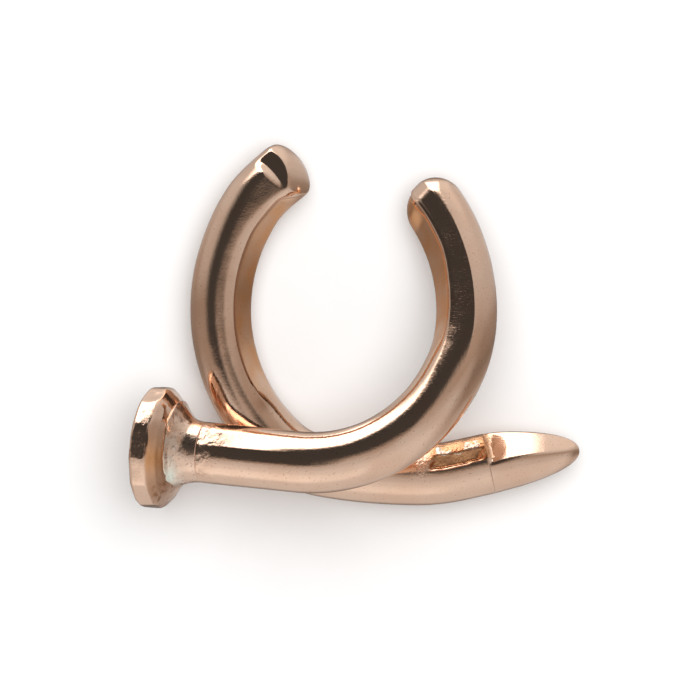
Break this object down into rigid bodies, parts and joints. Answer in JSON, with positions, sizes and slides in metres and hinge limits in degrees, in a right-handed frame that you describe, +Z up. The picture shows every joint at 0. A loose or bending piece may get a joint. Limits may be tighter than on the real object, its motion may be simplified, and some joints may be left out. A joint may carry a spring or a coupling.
{
  "type": "disentanglement puzzle",
  "caption": "Two bent nails hooked through one another to outline an open ring, one with a round head and one with a tapered point.",
  "frame": {"origin": "under the middle of the bounding box, on the table that the two hooks lie on", "axes": "+Z up from the table, +X from the nail head towards the nail point, +Y from the crossing towards the ring's open gap"},
  "size_m": [0.045, 0.037, 0.0147],
  "materials": {
    "polished_bar": "polished, with fine scratches",
    "braze_filler": "rough, matt"
  },
  "bodies": {
    "pointed_hook": {"pointed_shank": "polished_bar", "nail_point": "polished_bar", "point_braze_strip": "braze_filler"},
    "headed_hook": {"headed_shank": "polished_bar", "nail_head": "polished_bar", "head_braze_collar": "braze_filler"}
  },
  "joints": [
    {"name": "hook_swing", "type": "hinge", "parent": "pointed_hook", "child": "headed_hook", "pos_m": [-0.0046, -0.01375, 0.0065], "axis": [0, 0, 1], "range_deg": [-6, 20]}
  ]
}
